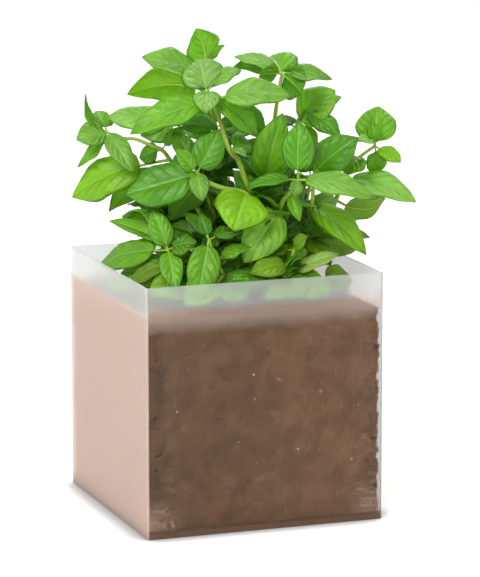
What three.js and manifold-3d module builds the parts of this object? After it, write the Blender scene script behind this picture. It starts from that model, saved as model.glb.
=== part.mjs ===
// A basil plant growing in a square frosted pot. Units are millimetres, +Z is up, and the origin is
// the middle of the pot's underside. The pot's broad front faces -Y and its milky side faces -X.
import * as THREE from "three";
import Module from "manifold-3d";
import { mergeVertices } from "three/addons/utils/BufferGeometryUtils.js";

const wasm = await Module();
wasm.setup();

// ---- Driving dimensions ----
const pot = { side: 140, height: 142, wall: 1.2, floor: 1.6, cornerRadius: 1.2 };
const soil = {
  top: 122, // height of the soil's rounded shoulder above the table
  crown: 1.25, // how far the flat middle of the soil rises above its shoulder
  crownInset: 30, // how far in from its sides that middle starts
  cornerRadius: 3,
  leastRadius: 1,
  shoulder: 5, // radius of the rounded upper edge
  shoulderTurns: [30, 60, 90], // degrees round the shoulder at which it has a ring of points
  gap: { front: 0.4, left: 2.4, right: 1.6, back: 1.2, under: 0.3 },
};
const hole = { depth: 16, above: 5, clearance: 0.35, under: 0.4, sides: 5 };
const stem = {
  base: 124.5, // height above the table at which a stem's path starts, just clear of the soil
  sides: 5,
  ringsPerSpot: 1.2,
  hiddenThick: 3.2,
  hiddenThin: 1.8,
};
const blade = {
  thickness: 0.6,
  stalkThickness: 1.3,
  stalkHalfWidth: 0.8,
  shortUnder: 16, // a leaf shorter than this has its rings of points at rings.short
  longFrom: 24, // and one longer than this at rings.long, as shares of the blade's length
  rings: { short: [0.3, 0.7], middle: [0.08, 0.38, 0.76], long: [0.06, 0.28, 0.55, 0.8] },
  edgeDrop: 0.1, // how far its edges hang below its midrib, as a share of its half width
};
const cornerSteps = 3; // sides of the arc at each corner of a rounded square
const weldDistance = 1e-4;

// ---- The picture that the plant was read from ----
// A spot on the plant is written [across, down, near]: the first two are the picture's pixels, and near
// is how many millimetres it stands towards the viewer from the upright plane through `aim`.
const picture = {
  centre: [240, 288.5],
  pixel: 0.5728, // mm covered by one pixel at `aim`
  aim: new THREE.Vector3(10, 0, 124),
  azimuth: THREE.MathUtils.degToRad(-20),
  elevation: THREE.MathUtils.degToRad(11),
  eyeDistance: 1950,
};
const up = new THREE.Vector3(0, 0, 1);
const nearward = new THREE.Vector3(Math.sin(picture.azimuth), -Math.cos(picture.azimuth), 0);
const toViewer = nearward
  .clone()
  .multiplyScalar(Math.cos(picture.elevation))
  .addScaledVector(up, Math.sin(picture.elevation));
const pictureRight = new THREE.Vector3(Math.cos(picture.azimuth), Math.sin(picture.azimuth), 0);
const pictureUp = new THREE.Vector3().crossVectors(toViewer, pictureRight);

// The spot lies on the line of sight through its pixel, where that line meets its upright plane.
function spot([across, down, near]) {
  const rightward = (across - picture.centre[0]) * picture.pixel;
  const upward = (picture.centre[1] - down) * picture.pixel;
  const depth = picture.eyeDistance * Math.cos(picture.elevation);
  const share = (depth - near) / (depth + upward * Math.sin(picture.elevation));
  return picture.aim
    .clone()
    .addScaledVector(toViewer, picture.eyeDistance * (1 - share))
    .addScaledVector(pictureRight, share * rightward)
    .addScaledVector(pictureUp, share * upward);
}

// ---- The leafy stems ----
// A stem rises from `root`, its place on the soil in the pot's own millimetres, along `path` to its
// growing tip, and thins from `thick` to `thin` (diameters). A leaf grows at the path's spot number `at`,
// counted from 1, and ends at `tip`. `turn` is how far its upper face is turned from the viewer (0) to
// the sky (90) and on to the back (180), in degrees.
const leafDefaults = { turn: 40, arch: 0.1, stalk: 0.16 };
const seenStems = [
  {
    name: "crown",
    thick: 3.6,
    thin: 2,
    root: [14, -16],
    path: [[266, 240, 22], [262, 208, 24], [248, 186, 26], [238, 160, 24], [229, 149, 22],
      [219, 118, 18], [213, 100, 16], [207, 92, 16]],
    leaves: [
      { at: 8, tip: [199, 58, 0], width: 26, turn: 5, stalk: 0.06 },
      { at: 8, tip: [206, 114, 34], width: 16, turn: 0, stalk: 0.06 },
      { at: 8, tip: [126, 95, -6], width: 28, turn: 130, arch: 0.14, stalk: 0.2 },
      { at: 8, tip: [242, 70, 4], width: 15, turn: 50, arch: 0.16 },
      { at: 7, tip: [292, 97, 22], width: 25, turn: 50, arch: 0.1 },
      { at: 7, tip: [129, 135, 28], width: 27, turn: 48, arch: 0.05 },
      { at: 7, tip: [258, 138, 14], width: 20, turn: 45, stalk: 0.08 },
      { at: 5, tip: [247, 157, 32], width: 8, turn: 60 },
      { at: 5, tip: [218, 143, 18], width: 6, turn: 60 },
      { at: 5, tip: [251, 146, 6], width: 15, turn: 30 },
    ],
    pairs: [{ at: 1, spin: -30, length: 22 }],
  },
  {
    name: "top",
    thick: 3.2,
    thin: 1.8,
    root: [12, 18],
    path: [[230, 230, -16], [224, 170, -18], [214, 120, -18], [208, 94, -18], [206, 76, -16],
      [207, 64, -14]],
    leaves: [
      { at: 6, tip: [196, 28, -24], width: 23, turn: 150, stalk: 0.08 },
      { at: 6, tip: [225, 45, -6], width: 9, turn: 60 },
      { at: 5, tip: [141, 57, -8], width: 27, turn: 50, arch: 0.04, stalk: 0.2 },
      { at: 4, tip: [267, 136, -16], width: 20, turn: 45, stalk: 0.3 },
    ],
    pairs: [{ at: 1, spin: 80, length: 26 }, { at: 2, spin: -20, length: 22 }],
  },
  {
    name: "upper_right",
    thick: 3.2,
    thin: 1.9,
    root: [27, 3],
    path: [[268, 220, -12], [272, 160, -10], [275, 118, -6], [278, 96, -3], [282, 74, 0]],
    leaves: [
      { at: 5, tip: [259, 76, 10], width: 13, turn: 140 },
      { at: 5, tip: [301, 93, 12], width: 22, turn: 150, stalk: 0.08 },
      { at: 5, tip: [233, 57, -4], width: 15, turn: 60 },
      { at: 5, tip: [232, 68, -16], width: 16, turn: 120 },
      { at: 5, tip: [268, 60, -34], width: 28, turn: 38, stalk: 0.05 },
      { at: 5, tip: [312, 64, -18], width: 12, turn: 72, arch: 0.02 },
      { at: 5, tip: [333, 80, 2], width: 16, turn: 55 },
    ],
    pairs: [{ at: 1, spin: 80, length: 22 }, { at: 2, spin: -60 }],
  },
  {
    name: "left_tip",
    thick: 3.2,
    thin: 1.6,
    root: [-4, 4],
    path: [[212, 245, 0], [194, 200, 2], [176, 170, 6], [170, 160, 8], [162, 150, 8], [150, 145, 6],
      [135, 139, 4], [120, 138, 2], [107, 132, 0]],
    leaves: [
      { at: 9, tip: [86, 93, 8], width: 11, turn: 72, arch: -0.12 },
      { at: 9, tip: [96, 111, -16], width: 14, turn: 30 },
      { at: 9, tip: [76, 140, 8], width: 17, turn: 20, stalk: 0.08 },
      { at: 9, tip: [77, 168, 2], width: 12, turn: 50 },
      { at: 9, tip: [134, 173, 22], width: 15, turn: 10, stalk: 0.08 },
      { at: 4, tip: [71, 198, -6], width: 31, turn: 40, stalk: 0.26 },
      { at: 5, tip: [139, 158, 2], width: 14, turn: 30 },
      { at: 5, tip: [184, 126, 6], width: 9, turn: 40 },
      { at: 3, tip: [108, 213, -8], width: 26, turn: 120 },
    ],
    pairs: [{ at: 1, spin: -50 }, { at: 2, spin: -80 }],
  },
  {
    name: "left_front",
    thick: 3.6,
    thin: 2.2,
    root: [0, -34],
    path: [[256, 240, 36], [258, 214, 38], [246, 194, 40], [222, 188, 42], [206, 181, 44],
      [197, 173, 46]],
    leaves: [
      { at: 6, tip: [220, 130, 36], width: 19, turn: 0, stalk: 0.1 },
      { at: 6, tip: [124, 194, 40], width: 31, turn: 35, arch: -0.03, stalk: 0.1 },
      { at: 6, tip: [175, 149, 50], width: 11, turn: 20 },
      { at: 6, tip: [203, 202, 62], width: 12, turn: 0, stalk: 0.06 },
      { at: 6, tip: [186, 178, 52], width: 5, turn: 40 },
      { at: 6, tip: [173, 131, 24], width: 13, turn: 20 },
      { at: 5, tip: [170, 222, 30], width: 21, turn: 140 },
      { at: 3, tip: [234, 232, 66], width: 32, turn: 0, stalk: 0.06 },
    ],
  },
  {
    name: "low_left",
    thick: 3,
    thin: 2,
    root: [-25, -33],
    path: [[194, 278, 46], [180, 262, 50], [168, 250, 52]],
    leaves: [
      { at: 3, tip: [100, 264, 3], width: 23, turn: 45, arch: 0.05 },
      { at: 3, tip: [177, 291, 72], width: 14, turn: 0, stalk: 0.08 },
      { at: 3, tip: [137, 208, 38], width: 8, turn: 60 },
      { at: 3, tip: [152, 209, 44], width: 14, turn: 10, stalk: 0.1 },
      { at: 3, tip: [198, 243, 58], width: 17, turn: 45 },
      { at: 3, tip: [108, 221, 24], width: 13, turn: 130 },
      { at: 3, tip: [136, 237, 30], width: 5, turn: 60 },
      { at: 2, tip: [128, 285, 40], width: 16, turn: 50 },
    ],
    pairs: [{ at: 1, spin: -30 }],
  },
  {
    name: "low_front",
    thick: 3,
    thin: 2,
    root: [-12, -50],
    path: [[222, 274, 58], [212, 252, 60], [209, 240, 60]],
    leaves: [
      { at: 3, tip: [197, 304, 74], width: 19, turn: 0, stalk: 0.1 },
      { at: 3, tip: [200, 213, 50], width: 9, turn: 10 },
      { at: 3, tip: [242, 232, 50], width: 14, turn: 60 },
      { at: 3, tip: [184, 212, 44], width: 9, turn: 40 },
    ],
  },
  {
    name: "mid_right",
    thick: 3.4,
    thin: 2.2,
    root: [24, -31],
    path: [[281, 250, 30], [280, 209, 36], [290, 192, 40], [298, 180, 42]],
    leaves: [
      { at: 4, tip: [245, 190, 46], width: 13, turn: 60 },
      { at: 4, tip: [374, 199, 52], width: 20, turn: 50, stalk: 0.1 },
      { at: 4, tip: [294, 197, 56], width: 8, turn: 0 },
      { at: 4, tip: [300, 120, 36], width: 19, turn: 10 },
      { at: 4, tip: [320, 143, 26], width: 13, turn: 40 },
      { at: 3, tip: [262, 204, 30], width: 14, turn: 130 },
      { at: 3, tip: [300, 222, 50], width: 8, turn: 0 },
      { at: 2, tip: [243, 264, 56], width: 25, turn: 0, stalk: 0.08 },
    ],
  },
  {
    name: "mid_upright",
    thick: 3.2,
    thin: 2,
    root: [19, -2],
    path: [[266, 250, 8], [268, 215, 12], [266, 182, 14]],
    leaves: [
      { at: 3, tip: [283, 112, 24], width: 23, turn: 10, stalk: 0.08 },
      { at: 1, tip: [224, 254, 30], width: 15, turn: 60 },
    ],
    pairs: [{ at: 1, spin: 10 }, { at: 2, spin: -70 }],
  },
  {
    name: "right",
    thick: 3.4,
    thin: 2,
    root: [38, -18],
    path: [[306, 240, 12], [312, 205, 14], [314, 173, 10]],
    leaves: [
      { at: 2, tip: [367, 256, 40], width: 20, turn: 30, stalk: 0.06 },
      { at: 3, tip: [359, 137, 14], width: 23, turn: 20, stalk: 0.1 },
      { at: 1, tip: [330, 262, 30], width: 16, turn: 50 },
    ],
    pairs: [{ at: 1, spin: -80 }],
  },
  {
    name: "far_right",
    thick: 3.2,
    thin: 1.6,
    root: [49, -3],
    path: [[322, 235, -12], [336, 200, -10], [343, 180, -8], [352, 164, -6], [362, 155, -4],
      [375, 146, -2]],
    leaves: [
      { at: 6, tip: [378, 106, -14], width: 24, turn: 10, stalk: 0.1 },
      { at: 6, tip: [371, 119, 8], width: 8, turn: 10 },
      { at: 6, tip: [401, 163, 6], width: 14, turn: 50, arch: 0.04 },
      { at: 6, tip: [376, 174, -10], width: 14, turn: 20 },
      { at: 6, tip: [357, 143, 10], width: 8, turn: 60, arch: 0.25 },
      { at: 5, tip: [346, 176, 6], width: 18, turn: 40 },
      { at: 3, tip: [417, 203, 14], width: 25, turn: 50, stalk: 0.1 },
      { at: 2, tip: [386, 198, -24], width: 26, turn: 120, arch: -0.2 },
      { at: 1, tip: [371, 238, -20], width: 14, turn: 60 },
    ],
    pairs: [{ at: 1, spin: 60 }],
  },
  {
    name: "upper_mid_right",
    thick: 3,
    thin: 1.8,
    root: [42, 14],
    path: [[290, 230, -24], [293, 170, -22], [296, 128, -18], [304, 110, -16]],
    leaves: [
      { at: 3, tip: [336, 90, -18], width: 31, turn: 42 },
      { at: 3, tip: [318, 148, -8], width: 15, turn: 140 },
      { at: 4, tip: [341, 138, 2], width: 14, turn: 30 },
      { at: 4, tip: [342, 97, -28], width: 10, turn: 20 },
      { at: 3, tip: [272, 120, -30], width: 16, turn: 60 },
    ],
    pairs: [{ at: 1, spin: -70, length: 26 }, { at: 2, spin: 80 }],
  },
  {
    name: "low_right",
    thick: 2.8,
    thin: 1.9,
    root: [20, -47],
    path: [[284, 280, 44], [290, 264, 46], [294, 250, 46]],
    leaves: [
      { at: 1, tip: [340, 254, 46], width: 11, turn: 40, stalk: 0.28 },
      { at: 1, tip: [353, 281, 28], width: 18, turn: 10, stalk: 0.55 },
      { at: 2, tip: [249, 274, 60], width: 15, turn: 30 },
      { at: 1, tip: [212, 287, 68], width: 18, turn: 45, stalk: 0.24 },
      { at: 3, tip: [264, 256, 34], width: 12, turn: 50 },
      { at: 3, tip: [308, 236, 50], width: 12, turn: 50 },
    ],
  },
  {
    name: "upper_left",
    thick: 3,
    thin: 1.8,
    root: [-8, 20],
    path: [[216, 230, -14], [200, 175, -12], [186, 140, -8], [178, 124, -6]],
    leaves: [
      { at: 4, tip: [106, 117, -2], width: 25, turn: 50, arch: 0.04 },
      { at: 4, tip: [219, 129, 8], width: 15, turn: 40 },
    ],
    pairs: [{ at: 1, spin: -80, length: 22 }, { at: 2, spin: -90 }],
  },
];

// Behind and between those leaves the plant follows basil's own rule: leaves in opposite pairs, each pair
// a quarter turn round from the last, and smaller towards the tip. `spin` is the compass angle of a pair
// in degrees, `lean` how far a hidden stem's tip stands out from its root, and `size` scales its leaves.
const hiddenStems = [
  { name: "back_left", root: [-20, 32], lean: [-8, 10], height: 50, spin: -70, size: 0.85 },
  { name: "back_middle", root: [8, 44], lean: [6, 12], height: 84, spin: -40, size: 1 },
  { name: "back_right", root: [35, 37], lean: [8, 14], height: 74, spin: 40, size: 1 },
  { name: "back_far_right", root: [59, 31], lean: [12, 14], height: 54, spin: 10, size: 0.85 },
  { name: "low_back_left", root: [-15, 60], lean: [-4, 8], height: 42, spin: 50, size: 0.7 },
  { name: "low_back_right", root: [28, 59], lean: [-6, 10], height: 44, spin: -20, size: 0.8 },
];
const pairs = {
  heights: [0.42, 0.64, 0.84, 1], // where they grow on a hidden stem, as shares of its height
  lengths: [34, 36, 32, 24],
  lifts: [12, 10, 22, 38], // how far each leaf points up from level, in degrees
  uneven: 0.12, // share by which the lengths differ
  roll: 0.7, // how far a blade may tip sideways, as a slope
};
const pairedLeaf = {
  turn: 0,
  arch: 0.12,
  stalk: 0.16,
  widthShare: 0.6, // a blade's width as a share of its length
  sunk: 0.4, // how far from the stem's axis its stalk starts
};
const innerPair = { length: 30, lift: 14, firstSeed: 100 };
const scattering = { step: 12.9898, start: 4.1414, spread: 43758.5453 };

// ---- Shapes ----
const eastward = new THREE.Vector3(1, 0, 0);
const northward = new THREE.Vector3(0, 1, 0);

function closedSolid(points, faces) {
  const geometry = new THREE.BufferGeometry().setFromPoints(points);
  geometry.setIndex(faces);
  const merged = mergeVertices(geometry, weldDistance);
  const vertProperties = merged.attributes.position.array;
  const triVerts = new Uint32Array(merged.index.array);
  const solid = new wasm.Manifold(new wasm.Mesh({ numProp: 3, vertProperties, triVerts }));
  if (solid.volume() <= 0) throw new Error("a shape is inside out");
  return solid;
}

// One closed body through rings of equally many points, with both ends closed flat.
function loft(rings) {
  const count = rings[0].length;
  const faces = [];
  for (let r = 0; r + 1 < rings.length; r++) {
    for (let i = 0; i < count; i++) {
      const [a, b] = [r * count + i, r * count + ((i + 1) % count)];
      faces.push(a, b, b + count, a, b + count, a + count);
    }
  }
  const end = (rings.length - 1) * count;
  for (let i = 1; i + 1 < count; i++) {
    faces.push(0, i + 1, i);
    faces.push(end, end + i, end + i + 1);
  }
  return closedSolid(rings.flat(), faces);
}

// A ring of points about a centre, in the plane of two unit vectors.
function ring(centre, side, other, radius, count) {
  return Array.from({ length: count }, (_, i) => {
    const angle = (2 * Math.PI * i) / count;
    return centre
      .clone()
      .addScaledVector(side, radius * Math.cos(angle))
      .addScaledVector(other, radius * Math.sin(angle));
  });
}

function flatRing(centre, radius, count) {
  return ring(centre, eastward, northward, radius, count);
}

// A level rectangle with round corners, from its lowest corner [x, y] to its highest.
function roundedRing(low, high, radius, z) {
  const corners = [[high[0], high[1]], [low[0], high[1]], [low[0], low[1]], [high[0], low[1]]];
  return corners.flatMap(([x, y], corner) => {
    const centreX = x === high[0] ? x - radius : x + radius;
    const centreY = y === high[1] ? y - radius : y + radius;
    return Array.from({ length: cornerSteps + 1 }, (_, step) => {
      const angle = (Math.PI / 2) * (corner + step / cornerSteps);
      return new THREE.Vector3(centreX + radius * Math.cos(angle), centreY + radius * Math.sin(angle), z);
    });
  });
}

// ---- Leaves ----
// Half of a blade's width at share b of its length, as a share of its greatest half width.
function outline(b) {
  return Math.sin(Math.PI * b ** 0.8) ** 0.75 * (1 - 0.1 * b ** 3);
}

// The leaf's frame: unit vectors along it, across it and out of its upper face.
function leafFrame({ base, tip, toward, turn }) {
  const along = tip.clone().sub(base);
  const length = along.length();
  along.normalize();
  const facing = toward.clone().addScaledVector(along, -toward.dot(along)).normalize();
  const skyward = new THREE.Vector3().crossVectors(along, facing);
  if (skyward.z < 0) skyward.negate();
  const angle = THREE.MathUtils.degToRad(turn);
  const face = facing.multiplyScalar(Math.cos(angle)).addScaledVector(skyward, Math.sin(angle));
  const across = new THREE.Vector3().crossVectors(face, along);
  return { length, along, across, face };
}

// Where a blade's rings lie along it; short leaves and the paired ones take fewer.
function bladeRings(length, plain) {
  if (length < blade.shortUnder) return blade.rings.short;
  if (length < blade.longFrom || plain) return blade.rings.middle;
  return blade.rings.long;
}

// A leaf as rings of points from its stalk to just before its tip; each ring runs along the lower face
// and back along the upper one.
function leafRings(leaf) {
  const { length, along, across, face } = leafFrame(leaf);
  const { arch, stalk } = leaf;
  const columns = [-1, 0, 1];
  const shares = bladeRings(length, leaf.plain);
  const rows = [0, stalk, ...shares.map((b) => stalk + b * (1 - stalk))];
  return rows.map((t, k) => {
    const onStalk = k < 2;
    const slope = arch * 4 * (1 - 2 * t);
    const centre = leaf.base
      .clone()
      .addScaledVector(along, length * t)
      .addScaledVector(face, arch * length * 4 * t * (1 - t));
    const normal = face.clone().addScaledVector(along, -slope).normalize();
    const wide = onStalk ? 0 : (leaf.width / 2) * outline((t - stalk) / (1 - stalk));
    const half = Math.max(blade.stalkHalfWidth, wide);
    const thickness = onStalk ? blade.stalkThickness : blade.thickness;
    const surface = (u, side) =>
      centre
        .clone()
        .addScaledVector(across, u * half)
        .addScaledVector(normal, (side * thickness) / 2 - blade.edgeDrop * wide * Math.abs(u));
    const over = columns.toReversed().map((u) => surface(u, 1));
    return [...columns.map((u) => surface(u, -1)), ...over];
  });
}

// Lays the same triangles on both faces of a blade, so that the two faces never meet.
function leafSolid(leaf) {
  const rings = leafRings(leaf);
  const size = rings[0].length;
  const last = size / 2 - 1;
  const under = (r, c) => r * size + c;
  const over = (r, c) => r * size + size - 1 - c;
  const faces = [];
  for (let r = 0; r + 1 < rings.length; r++) {
    for (let c = 0; c < last; c++) {
      faces.push(under(r, c), under(r, c + 1), under(r + 1, c + 1));
      faces.push(under(r, c), under(r + 1, c + 1), under(r + 1, c));
      faces.push(over(r, c), over(r + 1, c + 1), over(r, c + 1));
      faces.push(over(r, c), over(r + 1, c), over(r + 1, c + 1));
    }
    faces.push(under(r, 0), under(r + 1, 0), over(r + 1, 0));
    faces.push(under(r, 0), over(r + 1, 0), over(r, 0));
    faces.push(over(r, last), over(r + 1, last), under(r + 1, last));
    faces.push(over(r, last), under(r + 1, last), under(r, last));
  }
  const points = [...rings.flat(), leaf.tip];
  const end = (rings.length - 1) * size;
  for (let i = 0; i < size; i++) faces.push(end + i, end + ((i + 1) % size), points.length - 1);
  for (let i = 1; i + 1 < size; i++) faces.push(0, i + 1, i);
  return closedSolid(points, faces);
}

// ---- Stems ----
function soilSpot([x, y]) {
  return new THREE.Vector3(x, y, stem.base);
}

// A number from 0 to 1 that looks random but is always the same for the same seed.
function scatter(seed) {
  const value = Math.sin(seed * scattering.step + scattering.start) * scattering.spread;
  return value - Math.floor(value);
}

function leafPair({ base, spin, lift, length, seed }) {
  return [0, 1].map((side) => {
    const angle = THREE.MathUtils.degToRad(spin + 180 * side);
    const rise = THREE.MathUtils.degToRad(lift);
    const long = length * (1 + pairs.uneven * (2 * scatter(seed + side) - 1));
    const outward = new THREE.Vector3(Math.cos(angle), Math.sin(angle), 0);
    const sideways = new THREE.Vector3(-Math.sin(angle), Math.cos(angle), 0);
    const roll = pairs.roll * (2 * scatter(seed + side + 0.5) - 1);
    const tip = base
      .clone()
      .addScaledVector(outward, long * Math.cos(rise))
      .addScaledVector(up, long * Math.sin(rise));
    const toward = up.clone().addScaledVector(sideways, roll);
    const root = base.clone().addScaledVector(outward, pairedLeaf.sunk);
    return { ...pairedLeaf, base: root, tip, toward, width: long * pairedLeaf.widthShare, plain: true };
  });
}

function seenStem(row, index) {
  const points = [soilSpot(row.root), ...row.path.map(spot)];
  const leaves = row.leaves.map((leaf) => ({
    ...leafDefaults,
    ...leaf,
    base: points[leaf.at],
    tip: spot(leaf.tip),
    toward: toViewer,
  }));
  const inner = (row.pairs ?? []).flatMap((pair) => {
    const seed = innerPair.firstSeed + 10 * index + 2 * pair.at;
    return leafPair({ ...innerPair, ...pair, base: points[pair.at], seed });
  });
  return { ...row, points, leaves: [...leaves, ...inner] };
}

function hiddenStem(row, index) {
  const base = soilSpot(row.root);
  const [leanX, leanY] = row.lean;
  const at = (h) => base.clone().add(new THREE.Vector3(leanX * h * h, leanY * h * h, row.height * h));
  const leaves = pairs.heights.flatMap((h, pair) =>
    leafPair({
      base: at(h),
      spin: row.spin + 90 * pair,
      lift: pairs.lifts[pair],
      length: row.size * pairs.lengths[pair],
      seed: 10 * index + 2 * pair,
    }),
  );
  const points = [base, ...pairs.heights.map(at)];
  return { ...row, thick: stem.hiddenThick, thin: stem.hiddenThin, points, leaves };
}

function stemSolid({ points, thick, thin }) {
  const curve = new THREE.CatmullRomCurve3(points, false, "catmullrom", 0.5);
  const steps = Math.ceil(stem.ringsPerSpot * (points.length - 1));
  const [base] = points;
  const foot = base.clone().setZ(soil.top - hole.depth + hole.under);
  const rings = [foot, base].map((centre) => flatRing(centre, thick / 2, stem.sides));
  for (let i = 1; i <= steps; i++) {
    const t = i / steps;
    const tangent = curve.getTangent(t);
    const other = new THREE.Vector3().crossVectors(tangent, eastward).normalize();
    const side = new THREE.Vector3().crossVectors(other, tangent);
    const radius = THREE.MathUtils.lerp(thick, thin, t) / 2;
    rings.push(ring(curve.getPoint(t), side, other, radius, stem.sides));
  }
  return loft(rings);
}

// ---- Soil ----
// A rounded square ring of points at height z, `inset` mm in from the soil block's sides.
function soilRing(z, inset) {
  const inner = pot.side / 2 - pot.wall;
  const { front, left, right, back } = soil.gap;
  return roundedRing(
    [-inner + left + inset, -inner + front + inset],
    [inner - right - inset, inner - back - inset],
    Math.max(soil.cornerRadius - inset, soil.leastRadius),
    z,
  );
}

function soilSolid(everyStem) {
  const { top, shoulder, crown } = soil;
  const rings = [soilRing(pot.floor + soil.gap.under, 0), soilRing(top - shoulder, 0)];
  for (const turn of soil.shoulderTurns) {
    const angle = THREE.MathUtils.degToRad(turn);
    rings.push(soilRing(top - shoulder * (1 - Math.sin(angle)), shoulder * (1 - Math.cos(angle))));
  }
  rings.push(soilRing(top + crown, soil.crownInset));
  const block = loft(rings);
  return everyStem.reduce((block, { root, thick }) => {
    const radius = thick / 2 / Math.cos(Math.PI / hole.sides) + hole.clearance;
    const [x, y] = root;
    const ends = [top - hole.depth, top + hole.above].map((z) => new THREE.Vector3(x, y, z));
    return block.subtract(loft(ends.map((end) => flatRing(end, radius, hole.sides))));
  }, block);
}

// ---- Pot ----
function potRing(z, inset) {
  const half = pot.side / 2 - inset;
  return roundedRing([-half, -half], [half, half], pot.cornerRadius, z);
}

function potSolid() {
  const { height, wall, floor } = pot;
  return loft([potRing(0, 0), potRing(height, 0), potRing(height, wall), potRing(floor, wall)]);
}

// ---- The object ----
function named(name, solid, material) {
  const { vertProperties, triVerts } = solid.getMesh();
  const geometry = new THREE.BufferGeometry();
  geometry.setAttribute("position", new THREE.BufferAttribute(new Float32Array(vertProperties), 3));
  geometry.setIndex(new THREE.BufferAttribute(new Uint32Array(triVerts), 1));
  geometry.computeVertexNormals();
  const mesh = new THREE.Mesh(geometry, material);
  mesh.name = name;
  return mesh;
}

function frosted() {
  const look = { color: 0xe4ded9, roughness: 0.45, metalness: 0, transparent: true, opacity: 0.45 };
  return new THREE.MeshStandardMaterial(look);
}

function earthen() {
  return new THREE.MeshStandardMaterial({ color: 0x5c4433, roughness: 0.95, metalness: 0 });
}

function leafy() {
  return new THREE.MeshStandardMaterial({ color: 0x6fae34, roughness: 0.42, metalness: 0 });
}

const everyStem = [...seenStems.map(seenStem), ...hiddenStems.map(hiddenStem)];
const plant = new THREE.Group();
plant.add(named("pot", potSolid(), frosted()));
plant.add(named("soil", soilSolid(everyStem), earthen()));
for (const stem of everyStem) {
  const solid = stem.leaves.reduce((grown, leaf) => grown.add(leafSolid(leaf)), stemSolid(stem));
  plant.add(named(`stem_${stem.name}`, solid, leafy()));
}

export default plant;
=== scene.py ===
"""Looks of a basil plant that grows in a square frosted pot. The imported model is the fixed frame: the pot,
the soil and every leafy stem get their finish and their fine shape here, in its place and at its size."""

import math
from typing import NamedTuple

import bpy
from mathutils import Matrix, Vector


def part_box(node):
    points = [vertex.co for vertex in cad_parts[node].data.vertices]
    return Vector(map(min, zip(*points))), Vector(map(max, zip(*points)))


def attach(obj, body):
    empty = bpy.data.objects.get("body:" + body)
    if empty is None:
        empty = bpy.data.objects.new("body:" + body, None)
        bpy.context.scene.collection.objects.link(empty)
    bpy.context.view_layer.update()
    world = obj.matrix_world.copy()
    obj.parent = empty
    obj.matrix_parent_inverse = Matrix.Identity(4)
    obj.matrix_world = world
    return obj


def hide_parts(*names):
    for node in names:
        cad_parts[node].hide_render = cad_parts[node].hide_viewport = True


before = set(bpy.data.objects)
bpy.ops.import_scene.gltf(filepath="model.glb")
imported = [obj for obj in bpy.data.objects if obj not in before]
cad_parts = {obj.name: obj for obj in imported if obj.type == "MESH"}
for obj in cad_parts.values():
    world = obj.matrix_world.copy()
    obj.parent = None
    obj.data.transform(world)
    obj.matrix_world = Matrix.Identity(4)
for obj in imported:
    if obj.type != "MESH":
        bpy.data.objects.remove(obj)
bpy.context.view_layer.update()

MM = 0.001
FULL_TURN = 6.3  # radians
SKY = Vector((0, 0, 1))

# ---- The pot and its soil, in metres ----
POT_HALF, _, POT_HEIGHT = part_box("pot")[1]
WALL, FLOOR, POT_CORNER = 1.2 * MM, 1.6 * MM, 1.2 * MM
SOIL_TOP = 124.5  # mm above the table, in the middle
SOIL_LEVEL = SOIL_TOP * MM

# ---- The picture that the plant was read from ----
# A spot on the plant is written (across, down, near): the first two are the picture's pixels, and near is how
# many millimetres it stands towards the viewer from the upright plane through AIM.
PICTURE_WIDTH, PICTURE_HEIGHT = 480, 577
PIXEL = 0.5728  # mm covered by one pixel at AIM
AIM = Vector((10, 0, 124))
AZIMUTH, ELEVATION = math.radians(-20), math.radians(11)
EYE_DISTANCE = 1950
NEARWARD = Vector((math.sin(AZIMUTH), -math.cos(AZIMUTH), 0))
TO_VIEWER = NEARWARD * math.cos(ELEVATION) + SKY * math.sin(ELEVATION)
PICTURE_RIGHT = Vector((math.cos(AZIMUTH), math.sin(AZIMUTH), 0))
PICTURE_UP = TO_VIEWER.cross(PICTURE_RIGHT)


def spot(across, down, near):
    """The point in mm on the line of sight through a pixel, where that line meets its upright plane."""
    rightward = (across - PICTURE_WIDTH / 2) * PIXEL
    upward = (PICTURE_HEIGHT / 2 - down) * PIXEL
    depth = EYE_DISTANCE * math.cos(ELEVATION)
    share = (depth - near) / (depth + upward * math.sin(ELEVATION))
    sideways = PICTURE_RIGHT * rightward + PICTURE_UP * upward
    return AIM + TO_VIEWER * EYE_DISTANCE * (1 - share) + sideways * share


def set_camera():
    """The photograph's own viewpoint, with its focal length worked out from the size of a pixel."""
    camera = bpy.data.objects.new("camera", bpy.data.cameras.new("camera"))
    camera.data.lens = camera.data.sensor_width * EYE_DISTANCE / (PIXEL * PICTURE_HEIGHT)
    camera.location = (AIM + TO_VIEWER * EYE_DISTANCE) * MM
    camera.rotation_euler = TO_VIEWER.to_track_quat("Z", "Y").to_euler()
    bpy.context.scene.collection.objects.link(camera)
    bpy.context.scene.camera = camera


set_camera()


# ---- Nodes written as Python expressions ----
def adds(operation):
    """A method that adds an operation's Math or Vector Math node, with its own wire as the first term."""
    return lambda wire, *others: wire.nodes.math(operation, wire, *others)


def adds_reflected(operation):
    return lambda wire, other: wire.nodes.math(operation, other, wire)


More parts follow.
